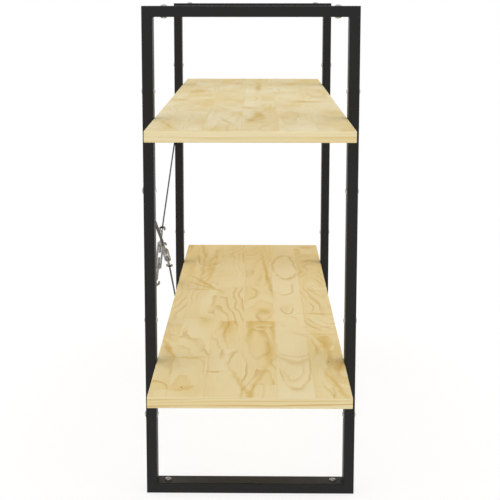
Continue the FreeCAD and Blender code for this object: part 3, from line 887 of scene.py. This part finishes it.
DOME_RINGS = 6
HEXAGON = 6
SOFT_SEGMENTS = 2
BORE_SHARE = 0.95  # of a barrel nut's stem
STEM_CHAMFER = 0.12  # of a stem's diameter
STRIP_BOLTS = (0, 2)  # the bolts of a back post that hold a brace strip, from below


def model_fastener(name, head, rim, dome, stem, stem_length, bore=0.0):
    """Model a domed head on Z 0 with a hexagon socket, and the stem that reaches down from it."""
    sizes = bpy.context.scene.bookcase_hardware
    drop_selection()
    bpy.ops.mesh.primitive_cylinder_add(
        vertices=sizes.head_sides, radius=head / 2, depth=rim, location=(0, 0, rim / 2)
    )
    piece = take_new(name)
    select_only(piece, "FACE", lambda face: face.normal.z > SQUARE_ON)
    raise_cap(head / 2, dome, DOME_RINGS)
    select_only(piece, "FACE", lambda face: face.normal.z < -SQUARE_ON)
    bpy.ops.mesh.inset(thickness=(head - stem) / 2)
    extrude((0, 0, -stem_length))
    if bore:
        bpy.ops.mesh.inset(thickness=(stem - bore) / 2)
        extrude((0, 0, stem_length * BORE_SHARE))
    else:
        bpy.ops.mesh.inset(thickness=stem * STEM_CHAMFER, depth=stem * STEM_CHAMFER)
    drop_selection()
    bpy.ops.mesh.primitive_cylinder_add(
        vertices=HEXAGON, radius=sizes.socket_width / math.sqrt(3), depth=2 * sizes.socket_depth,
        location=(0, 0, rim + dome),
    )
    combine(piece, take_new("socket_cutter"), "DIFFERENCE")
    round_edges(piece, sizes.soft_edge, SOFT_SEGMENTS)
    shade(piece)
    return piece


def outward(spot, direction):
    """Turn a fastener's Z axis to a direction and move it to its spot."""
    turn = Vector((0, 0, 1)).rotation_difference(Vector(direction)).to_matrix().to_4x4()
    return Matrix.Translation(spot) @ turn


def post_places(sizes):
    """List where the bolts and the barrel nuts of the posts sit."""
    bolts = []
    nuts = []
    for side in SIDES:
        for face, sign in (("back", 1), ("front", -1)):
            low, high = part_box(f"{side}_{face}_post")
            middle = (low.x + high.x) / 2
            outer, inner = (high.y, low.y) if sign > 0 else (low.y, high.y)
            for index, height in enumerate(sizes.bolt_heights):
                held_strip = sizes.strip_thickness if face == "back" and index in STRIP_BOLTS else 0.0
                bolts.append(outward((middle, outer + held_strip, height), (0, sign, 0)))
                nuts.append(outward((middle, inner, height), (0, -sign, 0)))
    return bolts, nuts


def bar_places(sizes, bar, lift=0.0):
    """List the two spots over and under each frame's bar, the upper ones lifted a little."""
    over = []
    under = []
    for side in SIDES:
        low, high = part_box(f"{side}_{bar}")
        middle = (low.x + high.x) / 2
        for across in (low.y + sizes.bar_inset, high.y - sizes.bar_inset):
            over.append(outward((middle, across, high.z + lift), (0, 0, 1)))
            under.append(outward((middle, across, low.z), (0, 0, -1)))
    return over, under


def rail_places(sizes):
    """List the spots of the shelf screws under the rails."""
    spots = []
    for side in SIDES:
        for level in LEVELS:
            low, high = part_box(f"{side}_{level}_rail")
            for across in (-sizes.screw_spread / 2, sizes.screw_spread / 2):
                spots.append(outward(((low.x + high.x) / 2, across, low.z), (0, 0, -1)))
    return spots


class BOOKCASE_OT_bolts(bpy.types.Operator):
    """Model the domed bolts, nuts and screws with their hexagon sockets"""

    bl_idname = "bookcase.bolts"
    bl_label = "Bolts, nuts and screws"

    def execute(self, context):
        sizes = context.scene.bookcase_hardware
        head = (sizes.head_diameter, sizes.head_rim, sizes.head_dome)
        screw_head = (sizes.screw_head, sizes.head_rim, sizes.screw_dome)
        stem = sizes.bolt_diameter
        bolt = model_fastener("frame_bolt", *head, stem, sizes.bolt_length)
        nut = model_fastener("barrel_nut", *head, sizes.barrel_diameter, sizes.barrel_length, bore=stem)
        base = model_fastener("base_screw", *head, stem, sizes.base_screw_length)
        screw = model_fastener("shelf_screw", *screw_head, stem, sizes.screw_length)
        plate = get_once(bpy.data.materials, "bright_plate", make_bright_plate)
        zinc = get_once(bpy.data.materials, "zinc_plate", make_zinc_plate)
        post_bolts, post_nuts = post_places(sizes)
        top_bolts, top_nuts = bar_places(sizes, "top_bar")
        base_screws, _ = bar_places(sizes, "bottom_bar", sizes.rivet_flange)
        sets = (
            (bolt, post_bolts, "post_bolts", plate, "bright_bolt"),
            (nut, post_nuts, "post_barrel_nuts", plate, "bright_bolt"),
            (bolt, top_bolts, "top_bar_bolts", plate, "bright_bolt"),
            (nut, top_nuts, "top_bar_barrel_nuts", plate, "bright_bolt"),
            (base, base_screws, "base_screws", plate, "bright_bolt"),
            (screw, rail_places(sizes), "shelf_screws", zinc, "zinc_screw"),
        )
        for pattern, places, node, material, slot in sets:
            settle(copy_to(pattern, places, f"{node}_set"), "case", node, material)
        for pattern in (bolt, nut, base, screw):
            bpy.data.objects.remove(pattern)
        cover("base_rivet_nuts", zinc)
        return {"FINISHED"}


# Cross brace

HOOK_SIDES = 16
SHANK_CUTS = (100, 2)  # the second cuts divide what the first ones leave
SHANK_CHAMFER = 0.14  # of the wire's diameter
HOOK_BEND = math.radians(60)
BEND_STEPS = 6
BOWL_STEPS = 20
TIP_RINGS = 5
BOSS_SIDES = 32
BORE_SIDES = 20
BORE_REACH = 1.1  # of the body's length, so that the cutter stands out at both ends
CAST_SEGMENTS = 3
CAST_SHARP = 50  # degrees, more than on a machined piece


def cut_thread(hook, start, end, sizes):
    """Press a helical thread into the shank, running out at both ends."""
    for point in hook.data.vertices:
        place = point.co
        if not start <= place.x <= end:
            continue
        turn = math.atan2(place.z, place.y) / math.tau
        share = ((place.x - start) / sizes.thread_pitch - turn) % 1.0
        groove = 1.0 - abs(2.0 * share - 1.0)
        run_out = min(1.0, (place.x - start) / sizes.wire, (end - place.x) / sizes.wire)
        keep = 1.0 - groove * run_out * sizes.thread_depth / (sizes.wire / 2)
        point.co = (place.x, place.y * keep, place.z * keep)


def model_hook(name):
    """Model a threaded shank along X whose end is bent into an open hook."""
    sizes = bpy.context.scene.bookcase_hardware
    start = sizes.buckle_length / 2 - sizes.thread_engaged
    neck = sizes.buckle_length / 2 + sizes.thread_shown
    radius = sizes.bend_radius
    leg = neck + 2 * math.sin(HOOK_BEND) * radius
    bowl = leg + sizes.hook_leg
    hook = add_rod(name, sizes.wire, neck - start, start, HOOK_SIDES)

    def runs_along(edge):
        """Tell whether an edge runs along the shank."""
        first, second = (hook.data.vertices[index].co.x for index in edge.vertices)
        return abs(first - second) > sizes.wire

    select_only(hook, "EDGE", runs_along)
    for cuts in SHANK_CUTS:
        bpy.ops.mesh.subdivide(number_cuts=cuts)
    drop_selection()
    cut_thread(hook, start, neck, sizes)
    near_end = start + sizes.thread_pitch
    far_end = neck - sizes.thread_pitch
    chamfer = sizes.wire * SHANK_CHAMFER
    select_only(hook, "FACE", lambda face: face.normal.x < -SQUARE_ON and face.center.x < near_end)
    bpy.ops.mesh.inset(thickness=chamfer, depth=chamfer)
    select_only(hook, "FACE", lambda face: face.normal.x > SQUARE_ON and face.center.x > far_end)
    bend(-HOOK_BEND, BEND_STEPS, neck, radius)
    bend(HOOK_BEND, BEND_STEPS, leg, 0)
    extrude((sizes.hook_leg, 0, 0))
    bend(math.pi, BOWL_STEPS, bowl, 0)
    extrude((-sizes.hook_tip, 0, 0))
    raise_cap(sizes.wire / 2, sizes.wire / 2, TIP_RINGS)
    drop_selection()
    shade(hook)
    return hook


def model_turnbuckle(name):
    """Model an open cast body: two rounded rails united with two bored bosses."""
    sizes = bpy.context.scene.bookcase_hardware
    body = None
    for sign in (-1, 1):
        drop_selection()
        bpy.ops.mesh.primitive_cube_add(
            size=1, location=(0, sign * (sizes.buckle_width - sizes.rail_width) / 2, 0),
            scale=(sizes.buckle_length, sizes.rail_width, sizes.rail_thickness),
        )
        rail = take_new(name)
        boss_start = sign * (sizes.buckle_length - sizes.boss_length) / 2 - sizes.boss_length / 2
        boss = add_rod(f"{name}_boss", sizes.boss_diameter, sizes.boss_length, boss_start, BOSS_SIDES)
        for part in (rail, boss):
            round_edges(part, sizes.rail_rounding, CAST_SEGMENTS)
        if body is None:
            body = rail
        else:
            combine(body, rail, "UNION")
        combine(body, boss, "UNION")
    bore_length = sizes.buckle_length * BORE_REACH
    bore = add_rod("bore_cutter", sizes.bore_diameter, bore_length, -bore_length / 2, BORE_SIDES)
    combine(body, bore, "DIFFERENCE")
    shade(body, CAST_SHARP)
    return body


def brace_place(node, joint_name):
    """Work out how a brace piece lies: its X axis along the diagonal, from the frame's joint."""
    joint = next(item for item in frame["joints"] if item["name"] == joint_name)
    down = Vector(joint["axis"])
    outward_axis = -down if "upper" in node or node.endswith("turnbuckle") else down
    turn = math.atan2(-outward_axis.z, outward_axis.x)
    return Matrix.Translation(joint["pos_m"]) @ Matrix.Rotation(turn, 4, "Y")


class BOOKCASE_OT_brace(bpy.types.Operator):
    """Model the turnbuckles and their threaded hooks, and coat the strips"""

    bl_idname = "bookcase.brace"
    bl_label = "Cross brace"

    def execute(self, context):
        zinc = get_once(bpy.data.materials, "zinc_plate", make_zinc_plate)
        strip = get_once(bpy.data.materials, "dark_strip_coat", make_strip_coat)
        patterns = {"turnbuckle": model_turnbuckle("turnbuckle_pattern"), "hook": model_hook("hook_pattern")}
        for diagonal in DIAGONALS:
            spin = f"{diagonal}_turnbuckle_spin"
            for kind in ("turnbuckle", "upper_hook", "lower_hook"):
                node = f"{diagonal}_{kind}"
                pattern = patterns[kind.split("_")[-1]]
                piece = copy_to(pattern, [brace_place(node, spin)], f"{node}_casting")
                settle(piece, f"{node}_body", node, zinc)
            for level in LEVELS:
                cover(f"{diagonal}_{level}_strip", strip)
        for pattern in patterns.values():
            bpy.data.objects.remove(pattern)
        return {"FINISHED"}


class BOOKCASE_OT_frames(bpy.types.Operator):
    """Powder-coat the tube frames"""

    bl_idname = "bookcase.frames"
    bl_label = "Tube frames"

    def execute(self, context):
        coat = get_once(bpy.data.materials, "charcoal_powder_coat", make_frame_coat)
        for side in SIDES:
            for tube in TUBES:
                cover(f"{side}_{tube}", coat)
        return {"FINISHED"}


# The two boards. The seed picks their staves, and the calm stave is the pale one, counted across from
# the middle. The edge stave is the place across the grain whose figure the edges and the ends show.
# Lines, warmth, clouds and patches are strengths. The edges and the ends have the side lines instead,
# and the side warmth as well. The rest are marks.

LOWER_BOARD = SimpleNamespace(
    seed=2.0,
    calm_stave=-2.0,
    edge_stave=0.053,
    lines=0.66,
    side_lines=1.25,
    warmth=0.50,
    side_warmth=0.12,
    clouds=0.75,
    patches=1.0,
    rings=(Mark(-0.400, 0.002, 0.110, 0.024, 1.60),),
    arcs=(
        Mark(0.285, -0.063, 0.100, 0.0210, 0.90),
        Mark(0.130, -0.056, 0.066, 0.0170, 0.80, side=-1),
        Mark(-0.035, -0.058, 0.033, 0.0085, 0.95, width=0.4),
        Mark(-0.118, -0.060, 0.026, 0.0160, 0.65, width=0.4),
        Mark(-0.250, -0.064, 0.060, 0.0270, 0.50),
        Mark(-0.262, -0.064, 0.078, 0.0300, 0.62, side=-1),
        Mark(-0.330, -0.058, 0.090, 0.0160, 0.36, side=-1),
        Mark(-0.300, -0.061, 0.168, 0.0235, 0.72, side=-1, width=0.16),
    ),
    stains=(
        Mark(-0.118, 0.037, 0.070, 0.011, 1.0, side=-1),
        Mark(-0.122, 0.001, 0.085, 0.005, 1.0, side=-1),
        Mark(-0.118, -0.016, 0.024, 0.018, 0.9, side=-1),
        Mark(-0.125, -0.034, 0.090, 0.004, 0.8, side=-1),
        Mark(-0.150, -0.018, 0.050, 0.006, 0.5, side=-1),
        Mark(-0.053, -0.022, 0.018, 0.012, 0.7),
        Mark(-0.035, -0.058, 0.026, 0.008, 0.35),
        Mark(-0.290, -0.027, 0.045, 0.006, 0.8),
        Mark(-0.205, -0.112, 0.085, 0.007, 1.0, side=-1),
        Mark(0.300, 0.094, 0.150, 0.0035, 0.5),
        Mark(0.280, 0.074, 0.120, 0.0030, 0.5, tilt=-3),
        Mark(-0.360, -0.126, 0.022, 0.009, 1.0),
        Mark(-0.450, 0.086, 0.055, 0.022, 0.22),
        Mark(-0.110, 0.076, 0.030, 0.010, 0.5),
        Mark(0.290, 0.082, 0.060, 0.006, 0.6),
        Mark(0.474, -0.112, 0.014, 0.012, 1.0),
        Mark(-0.432, 0.015, 0.070, 0.0035, 0.55, tilt=13),
        Mark(-0.428, -0.010, 0.070, 0.0035, 0.55, tilt=-11),
        Mark(-0.487, 0.002, 0.020, 0.0050, 0.55),
        Mark(-0.275, 0.121, 0.055, 0.0040, 0.9, tilt=12),
        Mark(-0.320, 0.086, 0.004, 0.026, 0.6),
        Mark(-0.387, 0.050, 0.003, 0.011, 1.0),
        Mark(0.150, 0.086, 0.060, 0.0035, 1.2, tilt=25),
        Mark(0.125, 0.086, 0.036, 0.0025, 1.0, tilt=40),
        Mark(0.100, 0.090, 0.004, 0.020, 0.8),
        Mark(0.230, -0.028, 0.140, 0.0030, 1.1, tilt=3),
        Mark(-0.069, -0.108, 0.004, 0.022, 0.8),
        Mark(-0.152, -0.107, 0.003, 0.020, 0.4),
        Mark(-0.192, -0.111, 0.003, 0.022, 0.6),
        Mark(0.092, -0.112, 0.004, 0.020, 0.4),
        Mark(-0.450, -0.118, 0.060, 0.0030, 0.8, tilt=11),
        Mark(-0.475, -0.108, 0.030, 0.0025, 0.6, tilt=14),
        # darker and warmer towards the far end, across the whole board
        Mark(0.500, 0.000, 0.260, 0.400, 0.50),
    ),
    knots=(Mark(-0.458, 0.092, 0.0035, 0.0016, 0.8), Mark(-0.339, -0.112, 0.005, 0.002, 0.6)),
)
UPPER_BOARD = SimpleNamespace(
    seed=5.0,
    calm_stave=-99.0,  # none
    edge_stave=0.151,
    lines=0.36,
    side_lines=0.65,
    warmth=0.44,
    side_warmth=0.04,
    clouds=2.5,
    patches=0.7,
    rings=(
        Mark(-0.206, -0.041, 0.070, 0.022, 1.6),
        Mark(0.060, 0.030, 0.120, 0.024, 2.2),
        Mark(-0.420, 0.105, 0.090, 0.022, 2.0),
    ),
    arcs=(),
    stains=(
        Mark(0.352, 0.026, 0.030, 0.008, 0.7),
        Mark(0.250, -0.011, 0.090, 0.005, 1.1),
        Mark(0.164, 0.096, 0.030, 0.014, 0.8),
        Mark(-0.026, 0.117, 0.020, 0.012, 0.6),
        Mark(-0.063, -0.090, 0.016, 0.018, 1.2),
        Mark(-0.171, 0.007, 0.020, 0.009, 0.6),
        Mark(-0.290, -0.012, 0.050, 0.006, 1.2, tilt=4),
        Mark(-0.340, -0.003, 0.045, 0.005, 0.9, tilt=-8),
        Mark(-0.371, -0.004, 0.020, 0.008, 0.5),
        Mark(-0.372, 0.034, 0.045, 0.004, 0.7, tilt=10),
        Mark(-0.239, -0.121, 0.035, 0.015, 0.5),
        Mark(0.412, 0.099, 0.022, 0.010, 0.5),
        Mark(0.335, -0.072, 0.032, 0.012, 0.4),
        Mark(0.115, 0.010, 0.004, 0.020, 0.6),
        Mark(-0.010, 0.066, 0.004, 0.012, 0.5),
        Mark(-0.423, 0.110, 0.050, 0.003, 0.7, tilt=14),
        Mark(-0.480, 0.000, 0.004, 0.030, 0.6),
        # darker and warmer towards the far end, across the whole board
        Mark(0.500, 0.000, 0.150, 0.400, 0.25),
    ),
    knots=(),
)


class BOOKCASE_OT_shelves(bpy.types.Operator):
    """Give both shelves their pine grain"""

    bl_idname = "bookcase.shelves"
    bl_label = "Pine shelves"

    def execute(self, context):
        for level, board in zip(LEVELS, (LOWER_BOARD, UPPER_BOARD)):
            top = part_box(f"{level}_shelf")[1].z
            cover(f"{level}_shelf", make_pine(f"{level}_shelf_pine", top, board))
        return {"FINISHED"}


# Stage: greys of the floor, the part of the sky that counts as above, and the softboxes, in metres

WHITE = (1, 1, 1, 1)
FLOOR_SIDES = 96
FLOOR_PALE = 0.80
FLOOR_SHADED = 0.26
FLOOR_GLOW = 0.75
ZENITH_START = 0.55
ZENITH_END = 0.90
SOFTBOX_SIZE = (6.0, 2.4)
SOFTBOX_AWAY = 2.5
SOFTBOX_ALONG = -0.3
SOFTBOX_HEIGHT = 1.1


def grey(level):
    """Make a neutral colour."""
    return (level, level, level, 1)


def seen_directly(wiring):
    """Tell whether a ray comes from the camera, a reflection or a clear body."""
    path = wiring.add("ShaderNodeLightPath").outputs
    either = wiring.math("MAXIMUM", path["Is Camera Ray"], path["Is Glossy Ray"])
    return wiring.math("MAXIMUM", either, path["Is Transmission Ray"])


def make_floor_finish(name):
    """Pale floor that turns white with distance and keeps the shadow of what stands on it."""
    stage = bpy.context.scene.bookcase_stage
    material, wiring, shader, place = new_material(name)
    wiring.tree.nodes.remove(shader)
    pale = wiring.add("ShaderNodeBsdfDiffuse", {"Color": grey(FLOOR_PALE)})
    shaded = wiring.add("ShaderNodeBsdfDiffuse", {"Color": grey(FLOOR_SHADED)})
    glow = wiring.add("ShaderNodeEmission", {"Color": grey(FLOOR_GLOW), "Strength": 1.0})
    near = wiring.add("ShaderNodeAddShader", {0: shaded.outputs["BSDF"], 1: glow.outputs["Emission"]})
    white = wiring.add("ShaderNodeEmission", {"Color": WHITE, "Strength": 1.0})
    distance = wiring.vector_math("LENGTH", place["Object"])["Value"]
    away = wiring.smooth(distance, stage.shadow_start, stage.shadow_end)
    seen = wiring.mix_shaders(away, near.outputs["Shader"], white.outputs["Emission"])
    final = wiring.mix_shaders(seen_directly(wiring), pale.outputs["BSDF"], seen)
    wiring.feed(wiring.tree.nodes["Material Output"].inputs["Surface"], final)
    return material


def light_world(stage):
    """Soft light from all round, weaker from above, that shows white to the camera and in reflections."""
    world = bpy.data.worlds.new("studio")
    world.use_nodes = True
    bpy.context.scene.world = world
    wiring = Wiring(world.node_tree)
    even = wiring.tree.nodes["Background"]
    even.inputs["Color"].default_value = WHITE
    direction = wiring.split(wiring.add("ShaderNodeTexCoord").outputs["Generated"])
    above = wiring.smooth(direction["Z"], ZENITH_START, ZENITH_END)
    strength = wiring.scale(above, stage.zenith_strength - stage.ring_strength, stage.ring_strength)
    wiring.feed(even.inputs["Strength"], strength)
    white = wiring.add("ShaderNodeBackground", {"Color": WHITE, "Strength": 1.0})
    final = wiring.mix_shaders(seen_directly(wiring), even.outputs["Background"], white.outputs["Background"])
    wiring.feed(wiring.tree.nodes["World Output"].inputs["Surface"], final)


def add_softbox(name, spot, target, power):
    """Add a softbox, wider than high, that faces a target and is not seen itself."""
    drop_selection()
    bpy.ops.object.light_add(type="AREA", location=spot)
    lamp = bpy.context.object
    lamp.name = name
    lamp.data.shape = "RECTANGLE"
    lamp.data.size, lamp.data.size_y = SOFTBOX_SIZE
    lamp.data.energy = power
    lamp.visible_camera = False
    lamp.visible_glossy = False
    lamp.visible_transmission = False
    lamp.rotation_euler = (Vector(target) - Vector(spot)).to_track_quat("-Z", "Y").to_euler()


def add_camera(stage):
    """Add the camera and look through it."""
    drop_selection()
    bpy.ops.object.camera_add(location=stage.eye)
    camera = bpy.context.object
    camera.name = "photo_camera"
    camera.data.lens = stage.lens
    camera.data.shift_x, camera.data.shift_y = stage.shift
    looking = Vector((
        math.cos(stage.tilt) * math.cos(stage.turn), math.sin(stage.turn), -math.sin(stage.tilt)
    ))
    camera.rotation_euler = looking.to_track_quat("-Z", "Y").to_euler()
    bpy.context.scene.camera = camera


class BOOKCASE_OT_stage(bpy.types.Operator):
    """Set the floor, the lights and the camera"""

    bl_idname = "bookcase.stage"
    bl_label = "Stage"

    def execute(self, context):
        stage = context.scene.bookcase_stage
        context.scene.view_settings.view_transform = "Standard"
        drop_selection()
        bpy.ops.mesh.primitive_circle_add(
            vertices=FLOOR_SIDES, radius=stage.floor_radius, fill_type="NGON"
        )
        floor = take_new("floor")
        floor.data.materials.append(make_floor_finish("pale_floor"))
        light_world(stage)
        middle = (CAD_BOX[0] + CAD_BOX[1]) / 2
        for name, across in (("front_softbox", -SOFTBOX_AWAY), ("back_softbox", SOFTBOX_AWAY)):
            add_softbox(name, (SOFTBOX_ALONG, across, SOFTBOX_HEIGHT), middle, stage.side_power)
        add_camera(stage)
        return {"FINISHED"}


class BOOKCASE_PT_panel(bpy.types.Panel):
    """Lists the steps that dress the bookcase."""

    bl_idname = "BOOKCASE_PT_panel"
    bl_label = "Bookcase"
    bl_space_type = "VIEW_3D"
    bl_region_type = "UI"
    bl_category = "Bookcase"

    def draw(self, context):
        for step in STEPS:
            self.layout.operator(step.bl_idname)
        for group in SETTINGS:
            settings = getattr(context.scene, group)
            box = self.layout.box()
            for name in settings.bl_rna.properties.keys():
                if name not in ("rna_type", "name"):
                    box.prop(settings, name)


STEPS = (BOOKCASE_OT_frames, BOOKCASE_OT_shelves, BOOKCASE_OT_bolts, BOOKCASE_OT_brace, BOOKCASE_OT_stage)
SETTINGS = {
    "bookcase_colours": BookcaseColours,
    "bookcase_hardware": BookcaseHardware,
    "bookcase_stage": BookcaseStage,
}


def register():
    """Register the settings, the steps and the panel."""
    for name, group in SETTINGS.items():
        bpy.utils.register_class(group)
        setattr(bpy.types.Scene, name, PointerProperty(type=group))
    for step in STEPS:
        bpy.utils.register_class(step)
    bpy.utils.register_class(BOOKCASE_PT_panel)


def unregister():
    """Take the panel, the steps and the settings away again."""
    bpy.utils.unregister_class(BOOKCASE_PT_panel)
    for step in reversed(STEPS):
        bpy.utils.unregister_class(step)
    for name, group in SETTINGS.items():
        delattr(bpy.types.Scene, name)
        bpy.utils.unregister_class(group)


def main():
    """Dress the bookcase."""
    register()
    bpy.ops.bookcase.frames()
    bpy.ops.bookcase.shelves()
    bpy.ops.bookcase.bolts()
    bpy.ops.bookcase.brace()
    bpy.ops.bookcase.stage()
    drop_selection()


if __name__ == "__main__":
    main()
